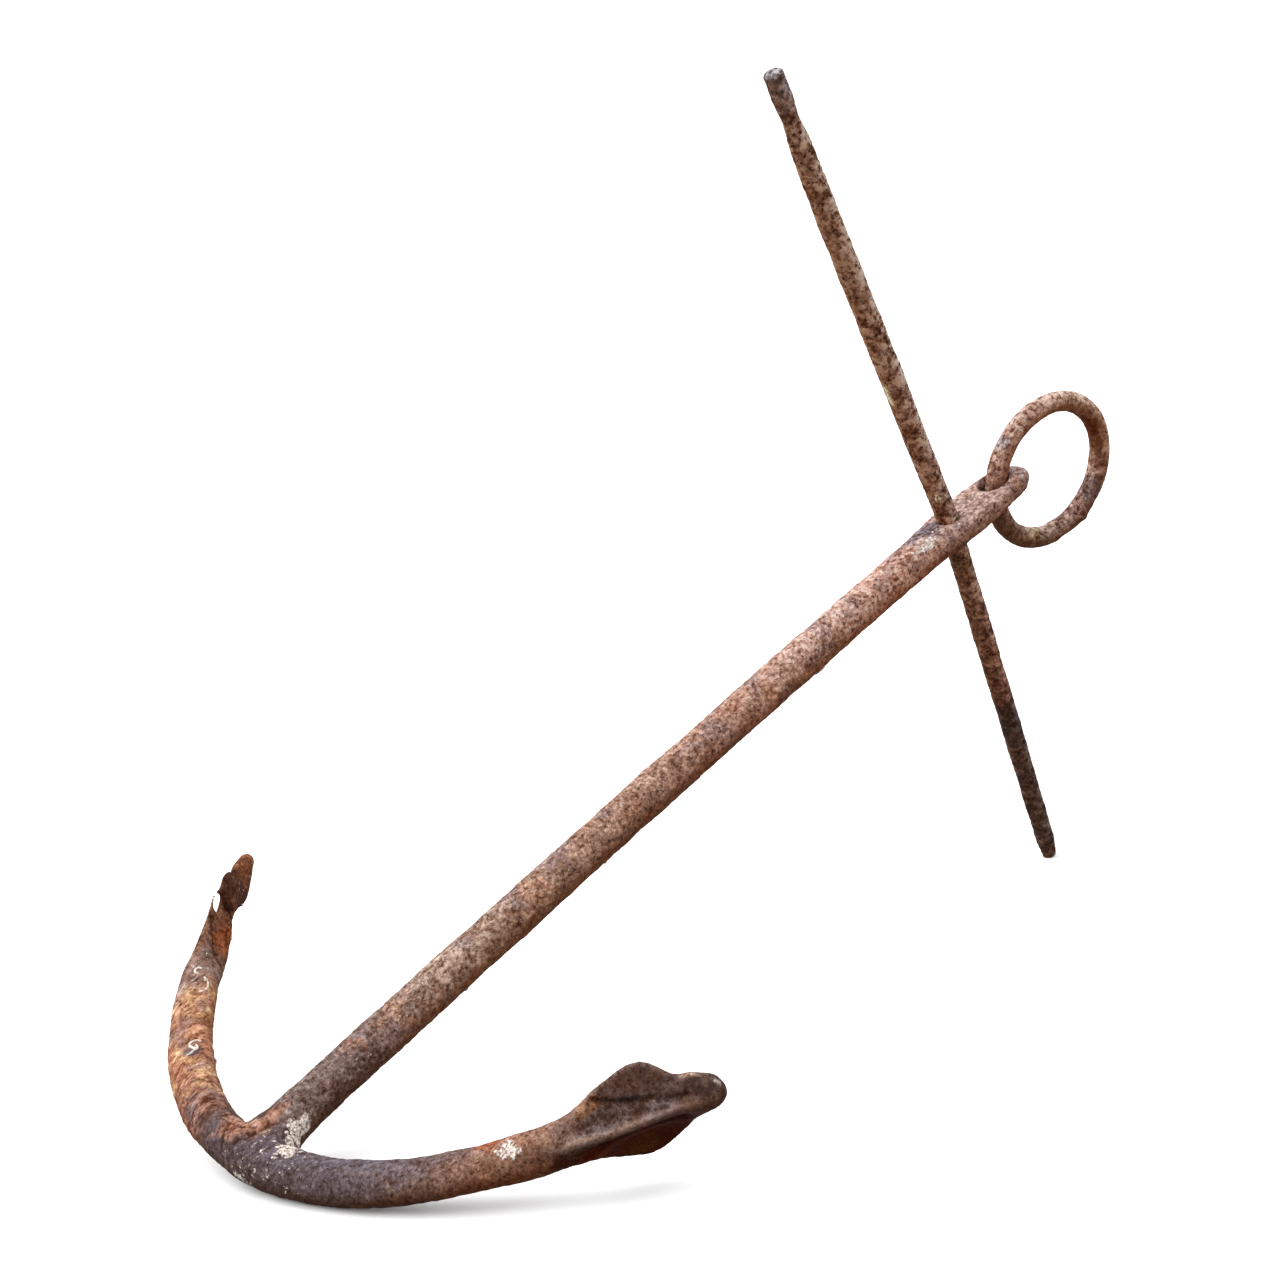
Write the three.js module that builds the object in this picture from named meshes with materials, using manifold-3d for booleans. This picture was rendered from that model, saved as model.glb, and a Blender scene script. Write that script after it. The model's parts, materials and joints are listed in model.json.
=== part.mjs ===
// An old stocked anchor of the fisherman's pattern, rusted and worn, with one sound palm and one broken
// palm. It stands as it comes to rest, on the underside of its crown and on the lower end of its stock.
import * as THREE from 'three';
import { mergeVertices } from 'three/addons/utils/BufferGeometryUtils.js';
import Module from 'manifold-3d';

const wasm = await Module();
wasm.setup();

// ---- Driving dimensions, in millimetres ---------------------------------------------------------
// The anchor's own frame has its origin at the middle of the crown, +X up the shank, +Y towards the
// arm with the broken palm, and +Z along the longer half of the stock.

const SHANK = { from: -6, tip: 908.5, footRadius: 17.9, neckRadius: 17.1, crowding: 0.04 };
const BOW = { height: 3, sag: 1.6, fullness: 1.5 };
const CROTCH = { soundFlare: 16, brokenFlare: 7, reach: 11, set: 3, setReach: 80 };
const SHANK_FACES = { round: 24, lengthwise: 52 };
const HEAD = { swellFrom: 770, flatFrom: 835, halfWidth: 25.3, halfThickness: 9, offset: -0.5 };
const HEAD_END = { halfWidth: 16, offset: -6, round: 9, width: 0.6, thickness: 0.7 };
const CORNER_LIMIT = 1.3;
const EYE = { at: 880, waistRadius: 13.2, mouthRadius: 15.6, facesRound: 32, facesThrough: 8 };

const CROWN_RADIUS = 19.4;
const SOUND_ARM = { side: -1, tipX: 228, tipY: 324, leave: 190, arrive: 98, tipAngle: 46 };
const BROKEN_ARM = { side: 1, tipX: 233, tipY: 328, leave: 174, arrive: 97, tipAngle: 53 };
const ARM_FACES = { round: 28, lengthwise: 100 };

// Along each arm from 0 at the crown to 1 at the tip: the half widths above and below the arm's
// centreline, the half thickness, and how far the round bar has become a flat plate with a ridge.
const SOUND_PALM = {
  along: [0, 0.66, 0.73, 0.78, 0.83, 0.86, 0.885, 0.905, 0.925, 0.96, 1],
  upper: [19.4, 17.4, 21, 30, 36.8, 39.5, 37.5, 29.5, 22.5, 17.5, 17],
  lower: [19.4, 17.4, 22.5, 38.5, 46, 42.6, 36.5, 30, 22, 15, 10.5],
  thick: [19.4, 17.4, 16.5, 16, 15, 14.2, 13.2, 12, 11.3, 10, 8.5],
  plate: [0, 0, 0.25, 0.8, 1, 1, 0.95, 0.75, 0.5, 0.15, 0],
};
const BROKEN_PALM = {
  along: [0, 0.6, 0.68, 0.74, 0.775, 0.804, 0.825, 0.845, 0.87, 0.905, 0.94, 1],
  upper: [18.7, 16.6, 22.5, 31, 34.5, 31.5, 29.5, 31.5, 29.5, 20.5, 14.5, 8.5],
  lower: [18.7, 16.6, 16.5, 8, 1.5, -3.5, -0.5, 4, 5.8, 5.2, 3.6, 4.5],
  thick: [18.7, 16.6, 13, 8.5, 7, 6.5, 6.5, 6.7, 7, 7.5, 7.5, 6],
  plate: [0, 0, 0.5, 0.95, 1, 1, 1, 1, 1, 0.75, 0.35, 0],
};
const PLATE = { setBack: 11, halfEdge: 3, ridgeWidth: 14 };
const TIP_ROUND = 0.028;
const RUST_HOLE = { along: 0.778, up: 24.3, halfLength: 9.6, halfWidth: 6.2, depth: 80, faces: 20 };

const STOCK = { at: 820, upperLength: 449.4, lowerLength: 386.6, endRound: 0.006, endShare: 0.72 };
const STOCK_LEAN = { upper: [0.001, -0.008], lower: [-0.021, 0.099] };
const STOCK_HOOK = { from: 330, reach: [1.0, -1.0] };
const STOCK_FACES = { round: 16, lengthwise: 40 };
const STOCK_GIRTH = {
  along: [0, 0.02, 0.08, 0.2, 0.464, 0.7, 0.88, 0.925, 0.955, 0.985, 1],
  radius: [9.2, 9.0, 8.8, 9.4, 9.8, 10.7, 10.2, 9.4, 8.2, 9.4, 9.8],
};

const RING = { radius: 63.4, wire: 9.4, droop: 21, roll: 8, turn: -2, slack: 0.1 };
const RING_FACES = { round: 16, lengthwise: 52 };
const FIT_GAP = 0.3;

// The way up, in the anchor's own frame, when it lies at rest, and the depth of the worn flats under it.
const REST_UP = new THREE.Vector3(0.4006, 0.1266, 0.9075).normalize();
const WORN_FLAT = 0.8;
const GROUND = { width: 3000, depth: 60 };

// ---- Helpers ------------------------------------------------------------------------------------

/** A smooth function of one variable through the given stations. */
function profile(stations, values) {
  const spline = new THREE.CubicInterpolant(stations, values, 1);
  return (t) => spline.evaluate(t)[0];
}

/** Bends a closed cylinder: place(u, x, z) puts the point (x, z) of its unit disc at station u, 0 to 1. */
function limb(sides, steps, place) {
  const bar = new THREE.CylinderGeometry(1, 1, 1, sides, steps);
  const points = bar.attributes.position;
  for (let i = 0; i < points.count; i++) {
    const point = place(points.getY(i) + 0.5, points.getX(i), points.getZ(i));
    points.setXYZ(i, point.x, point.y, point.z);
  }
  return bar;
}

/** A closed geometry as a solid that can be joined and cut. */
function toSolid(geometry) {
  const bare = geometry.clone();
  bare.deleteAttribute('normal');
  bare.deleteAttribute('uv');
  const merged = mergeVertices(bare, 1e-4);
  return new wasm.Manifold(new wasm.Mesh({
    numProp: 3,
    vertProperties: new Float32Array(merged.attributes.position.array),
    triVerts: new Uint32Array(merged.index.array),
  }));
}

/** A solid as a geometry again. */
function toGeometry(solid) {
  const mesh = solid.getMesh();
  const geometry = new THREE.BufferGeometry();
  geometry.setAttribute('position', new THREE.BufferAttribute(new Float32Array(mesh.vertProperties), 3));
  geometry.setIndex(new THREE.BufferAttribute(new Uint32Array(mesh.triVerts), 1));
  geometry.computeVertexNormals();
  return geometry;
}

/** 1 along most of a length, rounding down to 0 over its last stretch. */
function roundOff(u, stretch) {
  const past = Math.max(0, (u - (1 - stretch)) / stretch);
  return Math.sqrt(Math.max(0, 1 - past * past));
}

/** A rounded box outline: lifts a point of the unit circle towards the corner of its square. */
function squared(x, z, amount) {
  const reach = Math.max(Math.abs(x), Math.abs(z), 1e-6);
  const grow = THREE.MathUtils.lerp(1, Math.min(1 / reach, CORNER_LIMIT), amount);
  return [x * grow, z * grow];
}

// ---- The forging: shank, crown, arms and palms, welded and worked as one piece of iron -----------

/** The arm's centreline, from the middle of the crown to its tip. */
function armCurve({ side, tipX, tipY, leave, arrive, tipAngle }) {
  const angle = THREE.MathUtils.degToRad(tipAngle);
  const tip = new THREE.Vector3(tipX, side * tipY, 0);
  const heading = new THREE.Vector3(Math.sin(angle), side * Math.cos(angle), 0);
  return new THREE.CubicBezierCurve3(
    new THREE.Vector3(0, 0, 0),
    new THREE.Vector3(0, side * leave, 0),
    tip.clone().addScaledVector(heading, -arrive),
    tip,
  );
}

/** An arm with its palm: point(along, x, z) gives a point of its surface or of a section's inside. */
function armShape(arm, palm) {
  const curve = armCurve(arm);
  const upper = profile(palm.along, palm.upper);
  const lower = profile(palm.along, palm.lower);
  const thick = profile(palm.along, palm.thick);
  const plate = profile(palm.along, palm.plate);

  function point(along, x, z) {
    const centre = curve.getPointAt(along);
    const heading = curve.getTangentAt(along);
    const outward = new THREE.Vector3(-heading.y * arm.side, heading.x * arm.side, 0).normalize();
    const flat = THREE.MathUtils.clamp(plate(along), 0, 1);
    const blunt = roundOff(along, TIP_ROUND);

    const up = (z > 0 ? upper(along) : lower(along)) * z * blunt;
    const barOut = thick(along) * x;
    const ridge = Math.exp(-((up / PLATE.ridgeWidth) ** 2));
    const rise = (PLATE.setBack + thick(along) - PLATE.halfEdge) * ridge;
    const edge = Math.sign(x) * Math.sqrt(Math.abs(x));
    const plateOut = -PLATE.setBack + PLATE.halfEdge * edge + (x > 0 ? rise * edge : 0);
    const out = THREE.MathUtils.lerp(barOut, plateOut, flat) * blunt;
    return centre.addScaledVector(outward, out).add(new THREE.Vector3(0, 0, up));
  }
  return { point };
}

const brokenArm = armShape(BROKEN_ARM, BROKEN_PALM);
const soundArm = armShape(SOUND_ARM, SOUND_PALM);

/** Both arms and the crown as one bar, from the tip of the broken palm to the tip of the sound one. */
function crescent() {
  return limb(ARM_FACES.round, ARM_FACES.lengthwise, (u, x, z) => {
    const station = 2 * u - 1;
    const along = Math.sin((Math.abs(station) * Math.PI) / 2);
    return (station < 0 ? brokenArm : soundArm).point(along, x, z);
  });
}

/** The shank: round, slightly bowed, flared into the crotches at its foot and flattened at its head. */
function shank() {
  const swell = (s) => THREE.MathUtils.smoothstep(s, HEAD.swellFrom, HEAD.flatFrom);
  return limb(SHANK_FACES.round, SHANK_FACES.lengthwise, (u, x, z) => {
    const s = SHANK.from + (SHANK.tip - SHANK.from) * (u - SHANK.crowding * Math.sin(2 * Math.PI * u));
    const round = THREE.MathUtils.lerp(SHANK.footRadius, SHANK.neckRadius, s / SHANK.tip);
    const aboveCrown = Math.max(0, s - CROWN_RADIUS);
    const flare = (z > 0 ? CROTCH.brokenFlare : CROTCH.soundFlare) * Math.exp(-aboveCrown / CROTCH.reach);
    const flat = swell(s);
    const end = roundOff(s / SHANK.tip, HEAD_END.round / SHANK.tip);
    const endWidth = THREE.MathUtils.lerp(HEAD_END.width, 1, end);
    const endThickness = THREE.MathUtils.lerp(HEAD_END.thickness, 1, end);
    const [a, b] = squared(z, x, flat);
    const taper = (Math.max(0, s - HEAD.flatFrom) / (SHANK.tip - HEAD.flatFrom)) ** 2;
    const headWidth = THREE.MathUtils.lerp(HEAD.halfWidth, HEAD_END.halfWidth, taper);
    const halfWidth = THREE.MathUtils.lerp(round + flare, headWidth, flat) * endWidth;
    const halfThickness = THREE.MathUtils.lerp(round, HEAD.halfThickness, flat) * endThickness;
    const arch = Math.sin((Math.PI * Math.max(0, s)) / SHANK.tip) ** BOW.fullness;
    const bow = BOW.height * arch - BOW.sag;
    const headSet = flat * THREE.MathUtils.lerp(HEAD.offset, HEAD_END.offset, taper);
    const set = headSet - CROTCH.set * Math.exp(-Math.max(0, s) / CROTCH.setReach);
    return new THREE.Vector3(s, set + a * halfWidth, bow + b * halfThickness);
  });
}

/** The eye through the head, worn wider at both mouths by the ring. */
function eyeCutter() {
  const half = HEAD.halfThickness;
  const farOut = EYE.mouthRadius + 2 * half;
  const farEnd = 3 * half;
  const outline = [new THREE.Vector2(0, -farEnd), new THREE.Vector2(farOut, -farEnd)];
  for (let i = 0; i <= EYE.facesThrough; i++) {
    const place = (2 * i) / EYE.facesThrough - 1;
    const radius = THREE.MathUtils.lerp(EYE.waistRadius, EYE.mouthRadius, place * place);
    outline.push(new THREE.Vector2(radius, place * half));
  }
  outline.push(new THREE.Vector2(farOut, farEnd), new THREE.Vector2(0, farEnd));
  const cutter = new THREE.LatheGeometry(outline, EYE.facesRound);
  cutter.rotateX(Math.PI / 2);
  cutter.translate(EYE.at, 0, 0);
  return cutter;
}

/** The hole that rust has eaten through the broken palm, beside its upper edge. */
function rustHoleCutter() {
  const centre = brokenArm.point(RUST_HOLE.along, 0, 0);
  const heading = armCurve(BROKEN_ARM).getTangentAt(RUST_HOLE.along);
  const cutter = new THREE.CylinderGeometry(1, 1, RUST_HOLE.depth, RUST_HOLE.faces);
  cutter.scale(RUST_HOLE.halfLength, 1, RUST_HOLE.halfWidth);
  cutter.rotateZ(Math.atan2(heading.y, heading.x));
  cutter.translate(centre.x, centre.y, RUST_HOLE.up);
  return cutter;
}

// ---- The stock: a rod through the shank, bent a little where it passes through -------------------

/** The stock, grown all round by the given clearance. */
function stock(clearance = 0) {
  const girth = profile(STOCK_GIRTH.along, STOCK_GIRTH.radius);
  const length = STOCK.upperLength + STOCK.lowerLength;
  return limb(STOCK_FACES.round, STOCK_FACES.lengthwise, (u, x, z) => {
    const height = u * length - STOCK.lowerLength;
    const lean = height > 0 ? STOCK_LEAN.upper : STOCK_LEAN.lower;
    const end = Math.min(roundOff(u, STOCK.endRound), roundOff(1 - u, STOCK.endRound));
    const radius = girth(u) * THREE.MathUtils.lerp(STOCK.endShare, 1, end) + clearance;
    const away = Math.abs(height);
    const hook = THREE.MathUtils.smoothstep(height, STOCK_HOOK.from, STOCK.upperLength);
    const across = lean[0] * away + hook * STOCK_HOOK.reach[0];
    const aside = lean[1] * away + hook * STOCK_HOOK.reach[1];
    return new THREE.Vector3(STOCK.at + across + radius * z, aside + radius * x, height);
  });
}

// ---- The ring, loose in the eye -----------------------------------------------------------------

/** The ring, standing out past the head and drooping by its lean, tangent to the eye's axis. */
function ring() {
  const hoop = new THREE.TorusGeometry(RING.radius, RING.wire, RING_FACES.round, RING_FACES.lengthwise);
  hoop.rotateX(Math.PI / 2);
  hoop.translate(RING.radius + RING.slack, 0, 0);
  hoop.rotateX(THREE.MathUtils.degToRad(RING.roll));
  hoop.rotateY(THREE.MathUtils.degToRad(RING.droop));
  hoop.rotateZ(THREE.MathUtils.degToRad(RING.turn));
  hoop.translate(EYE.at, 0, 0);
  return hoop;
}

// ---- Assembly -----------------------------------------------------------------------------------

/** Lowest height of a solid's points, measured along the way up at rest. */
function lowest(solid) {
  const { vertProperties } = solid.getMesh();
  let height = Infinity;
  for (let i = 0; i < vertProperties.length; i += 3) {
    const [x, y, z] = vertProperties.subarray(i, i + 3);
    height = Math.min(height, REST_UP.x * x + REST_UP.y * y + REST_UP.z * z);
  }
  return height;
}

/** A solid that takes away everything lower than a height along the way up at rest. */
function groundCutter(height) {
  const ground = new THREE.BoxGeometry(GROUND.width, GROUND.width, GROUND.depth);
  ground.translate(0, 0, -GROUND.depth / 2);
  ground.applyQuaternion(new THREE.Quaternion().setFromUnitVectors(new THREE.Vector3(0, 0, 1), REST_UP));
  const lift = REST_UP.clone().multiplyScalar(height);
  ground.translate(lift.x, lift.y, lift.z);
  return toSolid(ground);
}

const roughStock = toSolid(stock());
const roughForging = toSolid(crescent())
  .add(toSolid(shank()))
  .subtract(toSolid(stock(FIT_GAP)))
  .subtract(toSolid(eyeCutter()))
  .subtract(toSolid(rustHoleCutter()));

const ground = groundCutter(Math.min(lowest(roughStock), lowest(roughForging)) + WORN_FLAT);
const stockSolid = roughStock.subtract(ground);
const forgingSolid = roughForging.subtract(ground);
const ringSolid = toSolid(ring());

const iron = (color, roughness) => new THREE.MeshStandardMaterial({ color, roughness, metalness: 0.2 });

/** A solid as a named mesh of its own material. */
function piece(name, solid, material) {
  const mesh = new THREE.Mesh(toGeometry(solid), material);
  mesh.name = name;
  return mesh;
}

const anchor = new THREE.Group();
anchor.add(piece('anchor_forging', forgingSolid, iron(0x6e4a3c, 0.9)));
anchor.add(piece('stock', stockSolid, iron(0x4e362b, 0.92)));
anchor.add(piece('ring', ringSolid, iron(0x7a5545, 0.88)));

// At rest the shank points along +X in plan, and the origin is under the middle of the whole anchor.
const forward = new THREE.Vector3(1, 0, 0).projectOnPlane(REST_UP).normalize();
const sideways = REST_UP.clone().cross(forward);
const attitude = new THREE.Matrix4().makeBasis(forward, sideways, REST_UP).transpose();
anchor.quaternion.setFromRotationMatrix(attitude);
const box = new THREE.Box3().setFromObject(anchor, true);
const middle = box.getCenter(new THREE.Vector3());
anchor.position.set(-middle.x, -middle.y, -box.min.z);

const model = new THREE.Group();
model.add(anchor);

export default model;
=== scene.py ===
"""Looks of an old stocked anchor: rusted forging, stock and ring, with the crust the sea left on them."""

import json
import logging
import math
import random
from collections.abc import Iterator, Sequence
from dataclasses import dataclass
from enum import Enum

import bpy
import numpy as np
from mathutils import Euler, Matrix, Quaternion, Vector, noise
from mathutils.bvhtree import BVHTree

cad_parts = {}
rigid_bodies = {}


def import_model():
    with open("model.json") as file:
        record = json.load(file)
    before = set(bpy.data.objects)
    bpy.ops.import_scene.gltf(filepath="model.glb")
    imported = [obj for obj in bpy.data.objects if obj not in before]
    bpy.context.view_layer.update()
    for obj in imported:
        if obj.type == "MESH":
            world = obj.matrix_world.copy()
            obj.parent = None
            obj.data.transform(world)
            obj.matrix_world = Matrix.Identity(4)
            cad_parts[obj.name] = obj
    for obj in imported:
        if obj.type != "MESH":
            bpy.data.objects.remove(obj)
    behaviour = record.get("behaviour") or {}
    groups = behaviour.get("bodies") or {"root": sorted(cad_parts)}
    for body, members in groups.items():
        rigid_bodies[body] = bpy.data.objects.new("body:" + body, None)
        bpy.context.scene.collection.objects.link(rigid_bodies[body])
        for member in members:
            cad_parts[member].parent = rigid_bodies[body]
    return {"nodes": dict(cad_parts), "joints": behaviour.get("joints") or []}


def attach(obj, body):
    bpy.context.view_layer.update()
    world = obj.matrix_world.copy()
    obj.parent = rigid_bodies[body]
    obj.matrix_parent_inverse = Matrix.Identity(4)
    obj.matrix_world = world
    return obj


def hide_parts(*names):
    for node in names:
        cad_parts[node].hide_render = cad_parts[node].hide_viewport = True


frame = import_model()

LOG = logging.getLogger("anchor")
MM = 0.001
FLOOR_GAP = 0.2
MERGE_GAP = 0.01
EYE_STATION = 880.0
TINT = "tint"
WAY = "way"
TINT_GAIN = 2.8

Array = np.ndarray
Piece = bpy.types.Object
Socket = bpy.types.NodeSocket
Point = tuple[float, float, float]
Colour = tuple[float, float, float]
Shade = int  # display values, as 0xRRGGBB
Run = tuple[tuple[float, Shade], ...]
Feeds = dict[str | int, object]
Footing = tuple[random.Random, Vector, Quaternion]


# ---- Small helpers ----


def srgb(shade: Shade) -> Colour:
    """Turns a shade into linear light."""
    parts = [(shade >> bits & 255) / 255 for bits in (16, 8, 0)]
    return tuple(p / 12.92 if p <= 0.04045 else ((p + 0.055) / 1.055) ** 2.4 for p in parts)


def smooth(values: Array, low: float, high: float) -> Array:
    """Eases from 0 at low to 1 at high, which may be less than low."""
    t = np.clip((values - low) / (high - low), 0, 1)
    return t * t * (3 - 2 * t)


def clear_selection() -> None:
    """Deselects everything."""
    for thing in bpy.context.scene.objects:
        thing.select_set(False)


def only(piece: Piece) -> None:
    """Makes piece the one selected and active object."""
    clear_selection()
    piece.select_set(True)
    bpy.context.view_layer.objects.active = piece


def points_of(piece: Piece) -> Array:
    """The piece's vertices as an array of rows."""
    flat = np.empty(len(piece.data.vertices) * 3, np.float32)
    piece.data.vertices.foreach_get("co", flat)
    return flat.reshape(-1, 3).astype(float)


def normals_of(piece: Piece) -> Array:
    """The piece's vertex normals as an array of rows."""
    flat = np.empty(len(piece.data.vertices) * 3, np.float32)
    piece.data.vertex_normals.foreach_get("vector", flat)
    return flat.reshape(-1, 3).astype(float)


def put_points(piece: Piece, points: Array) -> None:
    """Moves the piece's vertices to these rows."""
    piece.data.vertices.foreach_set("co", points.astype(np.float32).ravel())
    piece.data.update()


def push_out(piece: Piece, rise: Array) -> None:
    """Moves each vertex out along its normal by its rise in millimetres."""
    put_points(piece, points_of(piece) + normals_of(piece) * (rise * MM)[:, None])


def apply_modifier(piece: Piece, kind: str, **settings: object) -> None:
    """Adds a modifier with these settings and applies it.

    Args:
        piece: The mesh object.
        kind: The modifier's type.
        settings: Its properties by name.
    """
    only(piece)
    modifier = piece.modifiers.new(kind.title(), kind)
    for name, value in settings.items():
        setattr(modifier, name, value)
    bpy.ops.object.modifier_apply(modifier=modifier.name)


def copy_of(node: str) -> Piece:
    """A merged working copy of a CAD node.

    Args:
        node: The CAD node's name.

    Returns:
        A new object with its own mesh, at the origin.
    """
    source = frame["nodes"][node]
    piece = bpy.data.objects.new("working_" + node, source.data.copy())
    piece.data.materials.clear()
    bpy.context.scene.collection.objects.link(piece)
    only(piece)
    bpy.ops.object.mode_set(mode="EDIT")
    bpy.ops.mesh.select_all(action="SELECT")
    bpy.ops.mesh.remove_doubles(threshold=MERGE_GAP * MM)
    bpy.ops.object.mode_set(mode="OBJECT")
    return piece


def place_copy(model: Piece, place: Vector, turn: Quaternion, scale: Vector) -> Piece:
    """Sets a copy of the model, with a mesh of its own, in this place."""
    copied = model.copy()
    copied.data = model.data.copy()
    bpy.context.scene.collection.objects.link(copied)
    copied.matrix_world = Matrix.LocRotScale(place, turn, scale)
    return copied


def keep_above_floor(piece: Piece) -> None:
    """Raises what has sunk below the floor to just above it."""
    points = points_of(piece)
    points[:, 2] = np.maximum(points[:, 2], FLOOR_GAP * MM)
    put_points(piece, points)


def dress(piece: Piece, name: str, material: bpy.types.Material) -> None:
    """Names the finished piece, gives it its material and smooths its shading."""
    piece.name = name
    piece.data.name = name
    piece.data.materials.clear()
    piece.data.materials.append(material)
    only(piece)
    bpy.ops.object.shade_smooth()
    LOG.info("%s: %d faces", name, len(piece.data.polygons))


def fill_ramp(ramp: bpy.types.ColorRamp, stops: Sequence[tuple[float, Colour]]) -> None:
    """Gives a colour ramp these stops."""
    while len(ramp.elements) < len(stops):
        ramp.elements.new(0.5)
    for element, (at, colour) in zip(ramp.elements, stops):
        element.position = at
        element.color = (*colour, 1)


def surface_of(piece: Piece) -> BVHTree:
    """The piece's surface, for finding places on it."""
    faces = [tuple(face.vertices) for face in piece.data.polygons]
    return BVHTree.FromPolygons([vertex.co for vertex in piece.data.vertices], faces)


def join(pieces: Sequence[Piece], name: str) -> Piece:
    """Joins pieces into the first of them and settles the result at the origin.

    Args:
        pieces: The objects to join.
        name: The name of the result.

    Returns:
        The joined object.
    """
    only(pieces[0])
    for piece in pieces:
        piece.select_set(True)
    if len(pieces) > 1:
        bpy.ops.object.join()
    joined = bpy.context.view_layer.objects.active
    bpy.ops.object.transform_apply()
    joined.name = name
    joined.data.name = name
    return joined


def rough_field(points: Array, size: float, octaves: int = 4, seed: float = 0.0) -> Array:
    """Fractal noise at each point, from about -1 to 1, with lumps of this size in metres."""
    shift = Vector((seed, 1.7 * seed, -0.6 * seed))
    return np.array([noise.fractal(Vector(p) + shift, 0.7, 2.1, octaves) for p in points / size])


@dataclass(frozen=True)
class AnchorAxes:
    """The anchor's axes: from the crown's middle, x up the shank, y to the broken arm, z up the stock."""

    crown: Vector
    axes: Matrix

    @classmethod
    def from_joint(cls, joint: dict) -> "AnchorAxes":
        """Finds the axes from the ring's hinge, which is the axis of the eye.

        Args:
            joint: The hinge as the record gives it.

        Returns:
            The anchor's axes in the room.
        """
        up_stock = Vector(joint["axis"]).normalized()
        up_shank = Vector((up_stock.z, 0, -up_stock.x)).normalized()
        across = up_stock.cross(up_shank)
        axes = Matrix((up_shank, across, up_stock)).transposed()
        return cls(Vector(joint["pos_m"]) - up_shank * EYE_STATION * MM, axes)

    def place(self, point: Point) -> Vector:
        """A point of the anchor, in millimetres, as a place in the room."""
        return self.crown + self.axes @ (Vector(point) * MM)

    def direction(self, vector: Point) -> Vector:
        """A direction of the anchor as one in the room."""
        return (self.axes @ Vector(vector)).normalized()

    def local(self, points: Array) -> Array:
        """Rows of places in the room as points of the anchor, in millimetres."""
        return (points - np.array(self.crown)) @ np.array(self.axes) / MM


# ---- Roughening ----


class Grain(Enum):
    """The kinds of relief that rust leaves."""

    SWELLS = "CLOUDS"
    PITS = "VORONOI"


@dataclass(frozen=True)
class Relief:
    """One layer of relief pressed into a surface."""

    grain: Grain
    size: float
    depth: float
    mid: float = 0.5
    fine: int = 2
    stops: tuple[tuple[float, float], ...] = ()

    def press(self, piece: Piece, zone: Array | None = None) -> None:
        """Displaces the piece by this layer.

        Args:
            piece: The mesh object.
            zone: A weight for each vertex, or None for all of it.
        """
        texture = bpy.data.textures.new(self.grain.name.lower(), self.grain.value)
        texture.noise_scale = self.size * MM
        if self.grain is Grain.SWELLS:
            texture.noise_depth = self.fine
        if self.stops:
            texture.use_color_ramp = True
            texture.color_ramp.interpolation = "EASE"
            fill_ramp(texture.color_ramp, [(at, (value, value, value)) for at, value in self.stops])
        settings = {"texture": texture, "texture_coords": "LOCAL"}
        settings |= {"mid_level": self.mid, "strength": self.depth * MM}
        if zone is not None:
            settings["vertex_group"] = add_zone(piece, zone)
        apply_modifier(piece, "DISPLACE", **settings)
        if zone is not None:
            piece.vertex_groups.clear()


def add_zone(piece: Piece, weights: Array, levels: int = 24) -> str:
    """Writes weights as a vertex group.

    Args:
        piece: The mesh object.
        weights: One weight a vertex, 0 to 1.
        levels: How many steps the weights are rounded to.

    Returns:
        The group's name.
    """
    group = piece.vertex_groups.new(name="zone")
    rounded = np.rint(np.clip(weights, 0, 1) * levels).astype(int)
    for level in range(1, levels + 1):
        members = np.nonzero(rounded == level)[0]
        if len(members):
            group.add(members.tolist(), level / levels, "REPLACE")
    return group.name


def line_distance(line: Sequence[Point], local: Array) -> Array:
    """How far each of the anchor's points is from a chain of straight lines.

    Args:
        line: The chain's corners, in millimetres.
        local: Rows of the anchor's points, in millimetres.

    Returns:
        One distance a row, in millimetres.
    """
    nearest = np.full(len(local), np.inf)
    for start, end in zip(line[:-1], line[1:]):
        a = np.array(start)
        ab = np.array(end) - a
        t = np.clip(((local - a) @ ab) / (ab @ ab), 0, 1)
        nearest = np.minimum(nearest, np.linalg.norm(local - a - t[:, None] * ab, axis=1))
    return nearest


@dataclass(frozen=True)
class Crease:
    """A groove or ridge along a line of points of the anchor, in millimetres."""

    line: tuple[Point, ...]
    width: float
    depth: float
    wobble: float = 0.0
    sharpness: float = 1.0

    def press(self, piece: Piece, axes: AnchorAxes) -> None:
        """Pushes the surface in along the line, or out where depth is negative."""
        points = points_of(piece)
        distance = line_distance(self.line, axes.local(points))
        if self.wobble:
            distance = distance + self.wobble * rough_field(points, 7 * MM)
        profile = np.exp(-((np.maximum(distance, 0) / self.width) ** self.sharpness))
        push_out(piece, -self.depth * profile)


@dataclass(frozen=True)
class Lump:
    """A swelling round a point of the anchor, in millimetres, or a dent where its height is negative."""

    at: Point
    reach: float
    height: float

    def press(self, piece: Piece, axes: AnchorAxes) -> None:
        """Pushes the surface out round the point."""
        distance = np.linalg.norm(axes.local(points_of(piece)) - np.array(self.at), axis=1)
        push_out(piece, self.height * np.exp(-((distance / self.reach) ** 2)))


@dataclass(frozen=True)
class Thinning:
    """A plate eaten thin round a point of the anchor: draws both faces towards its middle plane."""

    at: Point
    normal: Point
    reach: float
    share: float

    def press(self, piece: Piece, axes: AnchorAxes) -> None:
        """Draws the two faces together."""
        points = points_of(piece)
        away = axes.local(points) - np.array(self.at)
        normal = np.array(self.normal)
        height = away @ normal
        spread = np.linalg.norm(away - height[:, None] * normal, axis=1)
        share = self.share * np.exp(-((spread / self.reach) ** 4)) * smooth(np.abs(height), 24, 16)
        step = np.array(axes.axes) @ normal
        put_points(piece, points - np.outer(share * height * MM, step))


# ---- Paint: colour and masks kept on the mesh ----


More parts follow.
